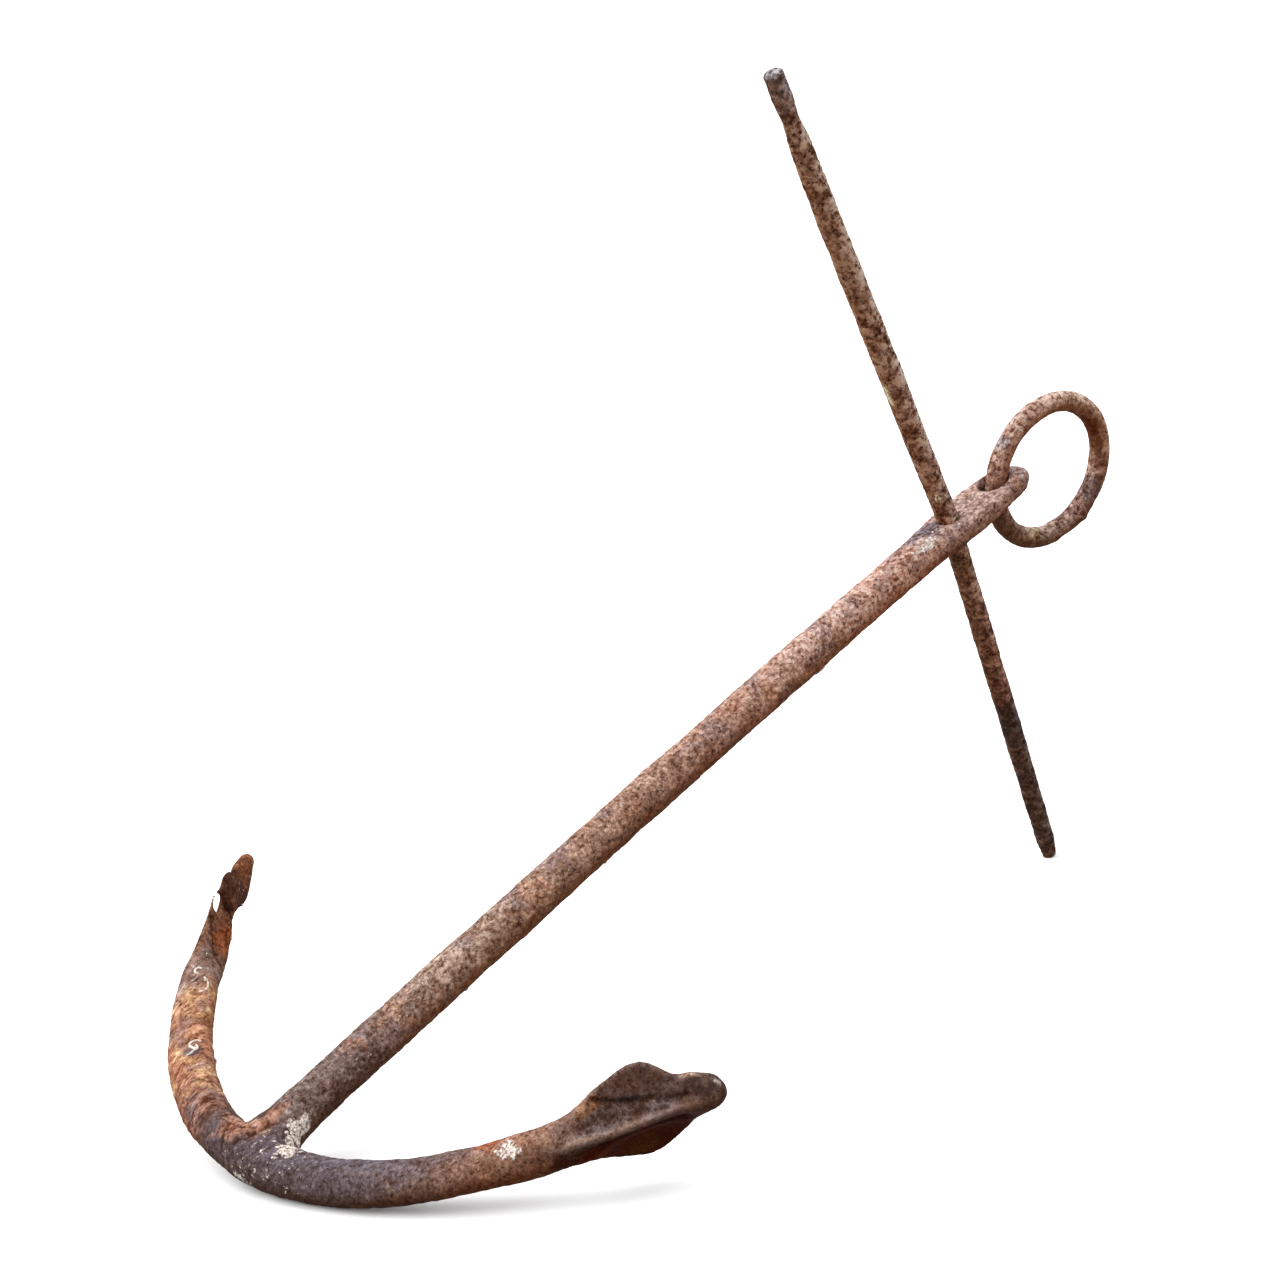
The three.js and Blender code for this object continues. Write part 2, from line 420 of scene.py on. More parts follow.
class Mask(Enum):
    """What the finish reads off the mesh, besides its tint."""

    RELIEF = "relief"
    SHELTER = "shelter"
    # Painted shade: how far each point faces down, for darkening there.
    LIME = "lime"
    FLAKES = "flakes"
    CALM = "calm"


@dataclass(frozen=True)
class ColourPatch:
    """A ragged patch of one colour round a point of the anchor."""

    colour: Shade
    at: Point
    reach: Point
    strength: float = 1.0
    ragged: float = 0.45

    def weight(self, local: Array, rough: Array) -> Array:
        """How strongly the patch covers each point, given noise that frays its edge."""
        distance = np.linalg.norm((local - np.array(self.at)) / np.array(self.reach), axis=1)
        return self.strength * smooth(distance + self.ragged * rough, 1.15, 0.7)


@dataclass(frozen=True)
class Streak:
    """A ragged line of one colour over points of the anchor."""

    colour: Shade
    line: tuple[Point, ...]
    width: float
    strength: float = 0.9

    def weight(self, local: Array, rough: Array) -> Array:
        """How strongly the line covers each point, given noise that frays its edge."""
        distance = line_distance(self.line, local) / self.width
        return self.strength * smooth(distance + 0.5 * rough, 1.3, 0.5)


class Paint:
    """Colours and masks laid on a finished mesh."""

    fray: float = 9.0

    def __init__(self, piece: Piece, axes: AnchorAxes) -> None:
        """Measures the piece.

        Args:
            piece: The finished mesh object.
            axes: The anchor's axes.
        """
        self.piece = piece
        self.points = points_of(piece)
        self.local = axes.local(self.points)
        self.rough = rough_field(self.points, 14 * MM, 5)
        self.tint = np.ones((len(self.points), 3))
        self.way = self.points.copy()
        self.masks = {mask: np.zeros(len(self.points)) for mask in Mask}

    def blend(self, colour: Array | Colour, where: Array | float) -> None:
        """Mixes a colour over the tint."""
        self.tint += (np.array(colour) - self.tint) * np.reshape(where, (-1, 1))

    def shade_along(self, station: Array, run: Run, where: Array | float = 1.0) -> None:
        """Lays a run of colours along the piece.

        Args:
            station: Where each vertex stands along the run.
            run: Stations and their colours, in order.
            where: How strongly each vertex takes it.
        """
        frayed = station + self.fray * self.rough
        at = [stop for stop, _ in run]
        channels = zip(*(srgb(shade) for _, shade in run))
        self.blend(np.stack([np.interp(frayed, at, channel) for channel in channels], 1), where)

    def colour_patch(self, colour_patch: ColourPatch | Streak) -> None:
        """Lays one patch over what is there."""
        self.blend(srgb(colour_patch.colour), colour_patch.weight(self.local, self.rough))

    def mingle(self, shade: Shade, size: float, share: float, where: Array, seed: float) -> None:
        """Lets another colour through in ragged patches.

        Args:
            shade: The other colour.
            size: The size of the patches in millimetres.
            share: Roughly how much of the surface they take, 0 to 1.
            where: How strongly each vertex takes it.
            seed: Moves the patches.
        """
        patches = rough_field(self.points, size * MM, 5, seed)
        edge = np.quantile(patches, 1 - share)
        self.blend(srgb(shade), smooth(patches, edge - 0.08, edge + 0.14) * where)

    def paint_top_light(self, where: Array, gain: Colour) -> None:
        """Painted top light: multiplies the tint by gain where the surface faces the sky."""
        self.tint *= 1 + (np.array(gain) - 1) * where[:, None]

    def mask(self, mask: Mask, values: Array) -> None:
        """Raises a mask to these values where they are higher."""
        self.masks[mask] = np.maximum(self.masks[mask], values)

    def write(self) -> None:
        """Stores the tint and the masks on the mesh."""
        mesh = self.piece.data
        tint = mesh.color_attributes.new(TINT, "FLOAT_COLOR", "POINT")
        rgba = np.concatenate([TINT_GAIN * self.tint, np.ones((len(self.tint), 1))], 1)
        tint.data.foreach_set("color", rgba.astype(np.float32).ravel())
        way = mesh.attributes.new(WAY, "FLOAT_VECTOR", "POINT")
        way.data.foreach_set("vector", self.way.astype(np.float32).ravel())
        for mask, values in self.masks.items():
            attribute = mesh.attributes.new(mask.value, "FLOAT", "POINT")
            attribute.data.foreach_set("value", values.astype(np.float32))


# ---- Finishes ----


class Graph:
    """The nodes of a material or a world, added one at a time."""

    def __init__(self, owner: bpy.types.Material | bpy.types.World, coordinates: str = "Object") -> None:
        """Starts an empty tree that reads these coordinates."""
        owner.use_nodes = True
        self.owner = owner
        self.tree = owner.node_tree
        self.tree.nodes.clear()
        self.place = self.node("TexCoord", {}, coordinates)

    def feed(self, socket: Socket, value: object) -> None:
        """Links an input to an output socket, or sets it to a number or a colour."""
        if isinstance(value, Socket):
            self.tree.links.new(value, socket)
        elif isinstance(value, tuple) and len(value) == 3 and socket.type == "RGBA":
            socket.default_value = (*value, 1)
        else:
            socket.default_value = value

    def node(self, kind: str, feeds: Feeds, output: str | int = 0, **settings: object) -> Socket:
        """Adds a node.

        Args:
            kind: Its type, without the prefix.
            feeds: What goes into its inputs.
            output: Which output is wanted.
            settings: Its properties by name.

        Returns:
            The output.
        """
        made = self.tree.nodes.new("ShaderNode" + kind)
        for name, value in settings.items():
            setattr(made, name, value)
        for socket, value in feeds.items():
            self.feed(made.inputs[socket], value)
        return made.outputs[output]

    def end(self, kind: str, shader: Socket) -> None:
        """Ends the tree with an output node of this kind."""
        self.feed(self.tree.nodes.new("ShaderNodeOutput" + kind).inputs["Surface"], shader)

    def noise(
        self, size: float, detail: float, rough: float, warp: float = 0.0, place: Socket | None = None
    ) -> Socket:
        """Noise with lumps of this size in millimetres."""
        feeds = {"Vector": place or self.place, "Scale": 1 / (size * MM), "Detail": detail}
        return self.node("TexNoise", feeds | {"Roughness": rough, "Distortion": warp}, "Fac")

    def warped(self, size: float, reach: float) -> Socket:
        """The place of each point, shaken about by up to reach, in lumps of this size, in millimetres."""
        shake = self.node("TexNoise", {"Vector": self.place, "Scale": 1 / (size * MM), "Detail": 2}, "Color")
        shaken = (2 * reach * MM,) * 3
        return self.node("VectorMath", {0: shake, 1: shaken, 2: self.place}, operation="MULTIPLY_ADD")

    def cells(self, size: float, shaken: float) -> Socket:
        """How far each point is from the middle of its cell, for shaken cells of this size in millimetres."""
        feeds = {"Vector": self.warped(size, shaken), "Scale": 1 / (size * MM)}
        return self.node("TexVoronoi", feeds, "Distance")

    def read(self, name: str, output: str = "Fac") -> Socket:
        """An attribute of the mesh."""
        return self.node("Attribute", {}, output, attribute_name=name)

    def math(self, kind: str, a: object, b: object, c: object = 0.0, clamp: bool = False) -> Socket:
        """One sum."""
        return self.node("Math", {0: a, 1: b, 2: c}, operation=kind, use_clamp=clamp)

    def total(self, *terms: tuple[object, float]) -> Socket:
        """The sum of sockets times weights."""
        result: object = 0.0
        for socket, weight in terms:
            result = self.math("MULTIPLY_ADD", socket, weight, result)
        return result

    def ease(self, value: object, low: float, high: float) -> Socket:
        """Eases from 0 at low to 1 at high."""
        ends = (0.0, 1.0) if high > low else (1.0, 0.0)
        return self.span(value, (min(low, high), max(low, high)), ends)

    def span(self, value: object, start: tuple[float, float], ends: tuple[float, float]) -> Socket:
        """Eases from one range to another."""
        feeds = {"Value": value, "From Min": start[0], "From Max": start[1]}
        feeds |= {"To Min": ends[0], "To Max": ends[1]}
        return self.node("MapRange", feeds, "Result", interpolation_type="SMOOTHSTEP")

    def ramp(self, factor: object, stops: Sequence[tuple[float, Colour]]) -> Socket:
        """Colours along a factor."""
        colour = self.node("ValToRGB", {"Fac": factor}, "Color")
        fill_ramp(colour.node.color_ramp, stops)
        return colour

    def mix_value(self, factor: object, a: object, b: object) -> Socket:
        """One number over another."""
        return self.node("Mix", {"Factor": factor, 2: a, 3: b}, data_type="FLOAT")

    def mix(self, factor: object, a: object, b: object, blend: str = "MIX") -> Socket:
        """One colour over another."""
        return self.node("Mix", {"Factor": factor, 6: a, 7: b}, 2, data_type="RGBA", blend_type=blend)

    def bump(self, height: object, depth: float, strength: float = 1.0) -> Socket:
        """A bump of this depth in millimetres."""
        return self.node("Bump", {"Strength": strength, "Distance": depth * MM, "Height": height}, "Normal")

    def surface(self, colour: object, rough: object, normal: object, specular: float) -> bpy.types.Material:
        """Ends the material with its shader and gives it back."""
        feeds = {"Base Color": colour, "Roughness": rough, "Normal": normal, "Specular IOR Level": specular}
        self.end("Material", self.node("BsdfPrincipled", feeds))
        return self.owner


@dataclass(frozen=True)
class RustFinish:
    """Mottled rust over the mesh's tint, with pits, specks, flakes, lime, and painted shade on the sides that
    face down.
    """

    name: str
    coarse: float = 11.0
    fine: float = 3.6
    contrast: float = 1.0
    pits: float = 0.6
    specks: float = 0.6
    coarse_share: float = 0.34
    # Painted cavity shade: how much the relief darkens the hollows and pales the rises.
    relief_share: float = 0.045
    grain_share: float = 0.14
    pit_size: float = 4.6
    pit_colour: Colour = (0.035, 0.017, 0.012)
    speck_size: float = 4.1
    speck_colour: Colour = srgb(0xCDB4A0)
    # Painted shade: the multiplier for the sides that face down.
    shelter: Colour = (0.66, 0.41, 0.25)
    palest: Colour = (0.6, 0.49, 0.42)
    lime: Colour = srgb(0xE2D6CE)
    lime_shade: Colour = srgb(0x8C766A)
    mottle: tuple[tuple[float, Colour], ...] = (
        (0.34, (0.045, 0.018, 0.009)),
        (0.41, (0.115, 0.068, 0.046)),
        (0.46, (0.22, 0.17, 0.143)),
        (0.5, (0.305, 0.278, 0.264)),
        (0.54, (0.42, 0.403, 0.39)),
        (0.59, (0.64, 0.65, 0.65)),
        (0.66, (0.95, 1.0, 1.02)),
    )

    def blotches(self, g: Graph) -> Socket:
        """Where the rust is darker or paler, about 0.5, with the flaky zones drawn out round the bar and
        painted shade in the hollows of the relief.
        """
        coarse = g.noise(self.coarse, 6, 0.62, 0.5)
        fine = g.noise(self.fine, 5, 0.68, 0.3)
        lumps = g.total((coarse, self.coarse_share), (fine, 1 - self.coarse_share))
        way = g.read(WAY, "Vector")
        ripples = g.total((g.noise(9.0, 5, 0.66, 0.8, way), 0.6), (g.noise(2.6, 3, 0.6, 0.4, way), 0.4))
        flaky = g.read(Mask.FLAKES.value)
        level = g.mix_value(g.read(Mask.CALM.value), g.mix_value(flaky, lumps, ripples), 0.5)
        spread = g.math("MULTIPLY_ADD", level, self.contrast, 0.5 - 0.5 * self.contrast)
        relief = g.read(Mask.RELIEF.value)
        grain = g.total((g.noise(1.3, 2, 0.6), self.grain_share), (self.grain_share, -0.5))
        # The relief term is painted cavity shade: hollows darker, rises paler.
        return g.total((spread, 1.0), (relief, self.relief_share), (grain, 1.0))

    def material(self) -> bpy.types.Material:
        """Builds the material."""
        g = Graph(bpy.data.materials.new(self.name))
        level = self.blotches(g)
        mottled = g.mix(1.0, g.read(TINT, "Color"), g.ramp(level, self.mottle), "MULTIPLY")
        colour = g.mix(1.0, mottled, self.palest, "DARKEN")

        hollow = g.ease(g.cells(self.pit_size, 1.6), 0.36, 0.2)
        pit = g.math("MULTIPLY", hollow, g.ease(level, 0.56, 0.46), clamp=True)
        colour = g.mix(g.math("MULTIPLY", pit, self.pits), colour, self.pit_colour)

        gather = g.noise(17, 2, 0.6)
        gathered = g.math("MULTIPLY", g.ease(gather, 0.5, 0.62), g.ease(g.read(Mask.CALM.value), 0.32, 0.2))
        speck = g.math("MULTIPLY", g.ease(g.cells(self.speck_size, 1.8), 0.3, 0.16), gathered, clamp=True)
        colour = g.mix(g.math("MULTIPLY", speck, self.specks), colour, self.speck_colour)

        # Painted shade: darkens the sides that face down, where the mask marks them.
        underside_shaded = g.mix(1.0, colour, self.shelter, "MULTIPLY")
        colour = g.mix(g.read(Mask.SHELTER.value), colour, underside_shaded)

        chips = g.total((g.noise(3.0, 4, 0.75), 0.65), (g.noise(7, 2, 0.6), 0.35))
        spread = g.total((g.read(Mask.LIME.value), 1.0), (g.read(Mask.RELIEF.value), 0.03))
        lime = g.ease(g.math("ADD", chips, spread), 0.99, 1.05)
        stained = g.mix(g.ease(g.noise(2.2, 3, 0.7), 0.56, 0.4), self.lime, self.lime_shade)
        colour = g.mix(lime, colour, stained)

        height = g.total((level, 1.6), (pit, -0.45), (speck, 0.25), (lime, 0.35))
        rough = g.total((g.ease(level, 0.4, 0.6), -0.15), (lime, 0.1), (0.82, 1.0))
        return g.surface(colour, rough, g.bump(height, 1.1), 0.04)


@dataclass(frozen=True)
class LimeFinish:
    """Chalky shell and worm lime, stained brown where the rust has bled into it."""

    name: str
    pale: Colour
    stained: Colour

    def material(self) -> bpy.types.Material:
        """Builds the material."""
        g = Graph(bpy.data.materials.new(self.name))
        fine = g.noise(2.2, 4, 0.7)
        bleed = g.noise(6, 3, 0.6)
        colour = g.mix(g.ease(bleed, 0.42, 0.62), self.pale, self.stained)
        colour = g.mix(g.ease(fine, 0.45, 0.3), colour, srgb(0x5C463A))
        return g.surface(colour, 0.85, g.bump(fine, 0.6), 0.3)


@dataclass(frozen=True)
class PlainFinish:
    """The studio floor."""

    name: str
    colour: Colour

    def material(self) -> bpy.types.Material:
        """Builds the material."""
        g = Graph(bpy.data.materials.new(self.name))
        soft = g.noise(900, 2, 0.5)
        colour = g.mix(soft, self.colour, tuple(0.985 * part for part in self.colour))
        return g.surface(colour, 0.9, g.bump(soft, 0.0, 0.0), 0.1)


# ---- The iron pieces ----


@dataclass(frozen=True)
class Cluster:
    """Small things gathered round a point of the anchor."""

    at: Point
    spread: Point
    count: int
    size: float
    seed: int

    def footings(self, surface: BVHTree, axes: AnchorAxes) -> Iterator[Footing]:
        """Finds where each of them sits.

        Args:
            surface: The mesh they sit on.
            axes: The anchor's axes.

        Yields:
            The dice for the rest of its draws, its place and which way it is turned.
        """
        dice = random.Random(self.seed)
        for _ in range(self.count):
            spot = [middle + dice.gauss(0, 1) * reach for middle, reach in zip(self.at, self.spread)]
            place, normal, _, _ = surface.find_nearest(axes.place(spot))
            spin = Euler((0, 0, dice.uniform(0, 6))).to_quaternion()
            yield dice, place, normal.to_track_quat("Z", "Y") @ spin


@dataclass
class IronPiece:
    """A piece of rusted iron built on a copy of its CAD node."""

    axes: AnchorAxes
    node: str
    name: str
    body: str
    slot: str
    voxel: float
    settle: int
    finish: RustFinish
    broad_relief: tuple[Relief, ...] = ()
    fine_relief: tuple[Relief, ...] = ()
    lumps: tuple[Lump, ...] = ()
    # Real stains, and painted shade and highlights, laid over the tint.
    stains_and_painted_light: tuple[ColourPatch | Streak, ...] = ()
    # Painted top light: how much paler and bluer the tint grows where the surface faces the sky.
    top_light_gain: Colour = (1.12, 1.22, 1.34)

    def blank(self) -> Piece:
        """A copy of the node, evenly meshed and with its facets eased away."""
        piece = copy_of(self.node)
        lumps = self.additions(piece)
        apply_modifier(piece, "REMESH", mode="VOXEL", voxel_size=self.voxel * MM, use_smooth_shade=True)
        apply_modifier(piece, "SMOOTH", factor=0.5, iterations=self.settle)
        if lumps:
            piece = join([piece, *lumps], piece.name)
            apply_modifier(piece, "REMESH", mode="VOXEL", voxel_size=self.voxel * MM, use_smooth_shade=True)
            apply_modifier(piece, "SMOOTH", factor=0.5, iterations=1)
        return piece

    def additions(self, base: Piece) -> list[Piece]:
        """Lumps welded to the piece before it is meshed for good."""
        return []

    def swell(self, piece: Piece) -> None:
        """Gives the piece its broad unevenness."""
        for relief in self.broad_relief:
            relief.press(piece)

    def roughen(self, piece: Piece) -> None:
        """Gives the piece its fine relief."""
        for relief in self.fine_relief:
            relief.press(piece)

    def colour(self, paint: Paint) -> None:
        """Gives the piece its tint and masks, under its stains and painted light."""

    def build(self) -> Piece:
        """Builds, roughens, paints and mounts the piece.

        Returns:
            The finished object.
        """
        piece = self.blank()
        self.swell(piece)
        for lump in self.lumps:
            lump.press(piece, self.axes)
        even = points_of(piece)
        outward = normals_of(piece)
        self.roughen(piece)
        keep_above_floor(piece)

        paint = Paint(piece, self.axes)
        relief = ((paint.points - even) * outward).sum(1) / MM
        paint.masks[Mask.RELIEF] = np.clip(relief - relief.mean(), -1.5, 1.5)
        # Painted shade: rises as the surface faces down, and the finish darkens it there.
        paint.masks[Mask.SHELTER] = smooth(outward[:, 2] + 0.12 * paint.rough, 0.4, -0.6)
        paint.masks[Mask.CALM] = 0.5 * paint.masks[Mask.SHELTER]
        self.colour(paint)
        for colour_patch in self.stains_and_painted_light:
            paint.colour_patch(colour_patch)
        # Painted top light on the surfaces that face up.
        paint.paint_top_light(smooth(outward[:, 2] + 0.12 * paint.rough, 0.2, 0.95), self.top_light_gain)
        paint.write()
        dress(piece, self.name, self.finish.material())
        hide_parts(self.node)
        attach(piece, self.body)
        return piece


@dataclass
class Forging(IronPiece):
    """Shank, head, crown, arms and palms."""

    node: str = "anchor_forging"
    name: str = "forging"
    body: str = "anchor"
    slot: str = "forged_iron"
    voxel: float = 1.7
    settle: int = 10
    finish: RustFinish = RustFinish("forged_rust")
    crusts: tuple[Cluster, ...] = (
        Cluster((40, -22, 3), (6, 3.5, 4.5), 34, 2.4, 1),
        Cluster((27, -32, 0), (4.5, 5, 6), 34, 2.4, 2),
        Cluster((12, -52, 15), (5, 9, 3), 14, 2.0, 3),
        Cluster((782, -12, 11), (7, 3, 2), 10, 1.2, 4),
        Cluster((-17, -18, 1), (1, 7, 2), 9, 1.2, 5),
        Cluster((98, -228, 15), (5, 6, 2), 5, 0.9, 6),
    )
    lumps: tuple[Lump, ...] = (
        Lump((187, 279, 16), 11, 2.4),
        Lump((178, 270, 12), 7, 1.6),
        Lump((216, 304, 10), 9, 2.0),
        Lump((150, 248, 6), 10, -1.6),
        Lump((200, 289, 24), 7, -2.2),
        Lump((190, -282, 27), 13, 1.8),
        Lump((207, -300, 23), 8, -1.6),
        Lump((214, -309, 18), 6, 1.8),
        Lump((176, -272, -24), 20, -2.2),
        Lump((8, 4, 18), 15, 1.6),
    )
    thinnings: tuple[Thinning, ...] = (Thinning((165.2, 263.6, 24.3), (-0.621, 0.784, 0), 12, 0.72),)
    creases: tuple[Crease, ...] = (
        Crease(((156, -261, 26), (165, -268, 20), (174, -279, 15), (183, -287, 14)), 1.6, 3.2, 1.0),
        Crease(((180, -285, 15), (191, -295, 13), (198, -306, 10), (204, -311, 10)), 1.5, 2.8, 1.0),
        Crease(((178, -290, 9), (184, -297, 7), (191, -305, 5)), 1.2, 1.8, 0.8),
        Crease(
            ((128, -262, 8), (137, -270, 7), (156, -283, 5), (173, -294, 4), (190, -306, 3), (216, -322, 1)),
            2.6,
            -4.4,
            0.4,
        ),
        Crease(
            ((122, -254, -5), (137, -267, -6), (156, -281, -8), (175, -292, -9), (194, -304, -9)),
            7.0,
            5.6,
            sharpness=2.0,
        ),
        Crease(((142, -262, 15), (160, -276, 12), (176, -288, 11)), 7.0, 1.6, sharpness=2.0),
        Crease(((200, -296, 30), (205, -304, 14)), 2.2, 1.4, 0.8),
        Crease(((12, 36, 16), (10, 22, 17), (9, 10, 16), (14, -2, 16)), 1.2, 3.0, 0.8),
        Crease(((-5, -1, 18), (3, -8, 18), (14, -8, 16), (26, -12, 15)), 1.2, 2.8, 0.8),
        Crease(((2, 16, 19), (9, 12, 17), (22, 8, 14)), 1.1, 2.4, 0.8),
        Crease(((14, 30, 14), (4, 20, 18), (-6, 14, 17)), 1.1, 2.2, 0.8),
        Crease(((131, 232, 10), (129, 228, 2), (128, 228, -5)), 1.3, 2.6, 0.5),
        Crease(((170, 266, 22), (171, 263, 12), (169, 262, 3)), 1.5, 3.4, 0.6),
        Crease(((150, 251, 26), (141, 242, 17), (131, 234, 10)), 1.5, 2.6, 0.7),
    )
    flake_height: float = 0.55
    crust_lime: float = 0.575
    crown_lime: float = 0.425
    arm_lime: float = 0.43
    scratch_lime: float = 0.5
    shank_run: Run = (
        (20, 0x6D5D57), (110, 0x6A5750), (200, 0x947C6E), (330, 0x8A6E5D), (540, 0x977565), (640, 0xAE8E7F),
        (760, 0xBF9989), (830, 0xA3877C), (880, 0x9B7D71), (905, 0x967F7B),
    )
    sound_run: Run = (
        (0, 0x524648), (130, 0x5C5255), (185, 0x64514D), (225, 0x8E6853), (262, 0x6B574F), (295, 0x5D4A44),
        (318, 0x4A3936),
    )
    # The darkest stops, at 268 and 284, are painted shade on the broken palm's lobe.
    broken_run: Run = (
        (0, 0x514446), (42, 0x57453F), (70, 0x7B5545), (120, 0x95654C), (195, 0x9E7157), (215, 0x8A736A),
        (238, 0x725343), (262, 0x704B36), (268, 0x43271A), (284, 0x482B1D), (292, 0x683F26),
        (325, 0x6D4026),
    )
    crown_run: Run = ((-30, 0x514447), (40, 0x534446))
    stains_and_painted_light: tuple[ColourPatch | Streak, ...] = (
        ColourPatch(0xA0735D, (10, 14, 16), (16, 24, 10), 0.85),
        ColourPatch(0x9A6F59, (26, -6, 16), (16, 10, 9), 0.8),
        ColourPatch(0x5C5860, (790, 2, 15), (30, 12, 9), 0.72),
        # Painted shade in the crotch under the crust.
        ColourPatch(0x3D2920, (30, -30, 10), (9, 9, 9), 0.8),
        # Painted shade in the crown's cracks, along the creases pressed there.
        Streak(0x2E201E, ((13, 38, 15), (9, 24, 17), (10, 10, 16), (16, -3, 16)), 1.8, 0.8),
        Streak(0x2E201E, ((-6, -2, 18), (3, -9, 18), (15, -9, 16), (27, -13, 14)), 1.8, 0.8),
        Streak(0x2E201E, ((14, 31, 14), (4, 20, 18), (-7, 14, 17), (-14, 6, 13)), 1.5, 0.75),
        ColourPatch(0xC49E8A, (16, 4, 16), (6, 7, 6), 0.7),
        ColourPatch(0xBE9682, (11, 30, 15), (5, 5, 5), 0.7),
        # Painted shadow inside the eye, round the ring.
        ColourPatch(0x341E18, (872, 2, -2), (12, 12, 13), 0.85, 0.2),
        ColourPatch(0x8B4D29, (147, 247, 3), (22, 16, 14), 0.85),
        ColourPatch(0x6B554B, (124, 232, 14), (14, 14, 7), 0.7),
        ColourPatch(0x524B59, (44, 137, 13), (9, 7, 6), 0.8),
        ColourPatch(0x6B6163, (160, -276, 13), (30, 20, 6), 0.7, 0.3),
        ColourPatch(0x6B5F60, (186, -298, 8), (16, 14, 4), 0.7, 0.3),
        ColourPatch(0x9C765C, (150, -262, 26), (15, 8, 8), 0.75),
        Streak(0xA68A76, ((202, -296, 26), (209, -303, 22), (218, -313, 18)), 2.2, 0.75),
        # Painted shade along the sound palm's grooves.
        Streak(0x2C1F1A, ((158, -262, 26), (167, -270, 20), (178, -281, 15), (190, -295, 13)), 2.6, 0.75),
        Streak(0x2C1F1A, ((184, -290, 14), (193, -299, 12), (200, -309, 10)), 2.0, 0.7),
        Streak(0xAC9684, ((178, -282, 14), (180, -284, 14)), 1.0, 0.8),
        Streak(0xAC9684, ((184, -290, 13), (187, -293, 12)), 0.9, 0.8),
        # Painted highlight along the sound palm's ridge.
        Streak(
            0x766155,
            ((137, -270, 8), (156, -283, 6), (173, -294, 5), (190, -306, 4), (216, -322, 2)),
            1.5,
            0.35,
        ),
        # Painted shade: the sound palm's lower half, below the ridge, darkened as if in shadow.
        ColourPatch(0x4A210C, (172, -282, -25), (74, 62, 28), 0.97, 0.2),
        ColourPatch(0x754022, (140, -264, -12), (22, 14, 7), 0.75),
        ColourPatch(0x58401E, (172, -269, -32), (14, 12, 9), 0.7),
        ColourPatch(0x9B5026, (97, -200, 15), (10, 16, 4), 0.6),
        # Painted highlight on the sound palm's tip.
        Streak(0xD7CCC6, ((223, -323, 12), (225, -325, 7)), 1.1, 0.9),
    )
    scratches: tuple[tuple[Point, ...], ...] = (
        ((-2, -34, 18), (-9, -36, 15), (-15, -37, 10)),
        ((6, -94, 16), (2, -95, 13), (-4, -97, 9)),
        ((14, -52, 17), (4, -50, 19), (-4, -56, 17)),
        ((2, -70, 18), (-6, -76, 15)),
    )

    def additions(self, base: Piece) -> list[Piece]:
        """The crusts' lumps."""
        surface = surface_of(base)
        lumps = []
        for crust in self.crusts:
            bpy.ops.mesh.primitive_ico_sphere_add(subdivisions=1, radius=crust.size * MM)
            model = bpy.context.active_object
            for dice, place, turn in crust.footings(surface, self.axes):
                scale = Vector((dice.uniform(0.6, 1.5), dice.uniform(0.5, 1.1), dice.uniform(0.35, 0.8)))
                lumps.append(place_copy(model, place, turn, scale * dice.uniform(0.6, 1.2)))
            bpy.data.objects.remove(model)
        return lumps

    def arms(self, local: Array) -> Array:
        """How much each point is of the arms, and not of the shank."""
        return smooth(np.abs(local[:, 1]), 24, 34)

    def off_eye(self, local: Array) -> Array:
        """How far each point is from the eye, whose worn edge stays smooth, 0 to 1."""
        return smooth(np.hypot(local[:, 0] - EYE_STATION, local[:, 1]), 15, 26)

    def limy(self, local: Array) -> Array:
        """How deep each point is in one of the crusts, 0 to 1."""
        depth = np.zeros(len(local))
        for crust in self.crusts:
            distance = np.linalg.norm((local - np.array(crust.at)) / (np.array(crust.spread) + 1.5), axis=1)
            depth = np.maximum(depth, smooth(distance, 3.0, 0.8))
        return depth

    def flaky(self, local: Array) -> Array:
        """How far each point is in the part of the broken arm and crown that comes off in flakes."""
        y = local[:, 1]
        arm = smooth(y, 30, 58) * smooth(y, 236, 214)
        crown = 0.8 * np.exp(-((np.hypot(local[:, 0] - 12, y - 4) / 26) ** 4)) * smooth(local[:, 2], -4, 8)
        return np.maximum(arm, crown)

    def along_arm(self, local: Array) -> Array:
        """Rows that run out along the arms, for patterns that are drawn out round the bar."""
        run = np.hypot(local[:, 0] * 0.75, local[:, 1]) * np.sign(local[:, 1])
        girth = 0.55 * (local[:, 0] - 0.0024 * local[:, 1] ** 2)
        return np.stack([run, girth, 0.55 * local[:, 2]], 1) * MM

    def swell(self, piece: Piece) -> None:
        """Long swells and the thin edge of the broken palm."""
        local = self.axes.local(points_of(piece))
        eye = self.off_eye(local)
        Relief(Grain.SWELLS, 55, 1.8, fine=1).press(piece, 0.4 + 0.6 * eye)
        Relief(Grain.SWELLS, 18, 1.2).press(piece, eye)
        for thinning in self.thinnings:
            thinning.press(piece, self.axes)

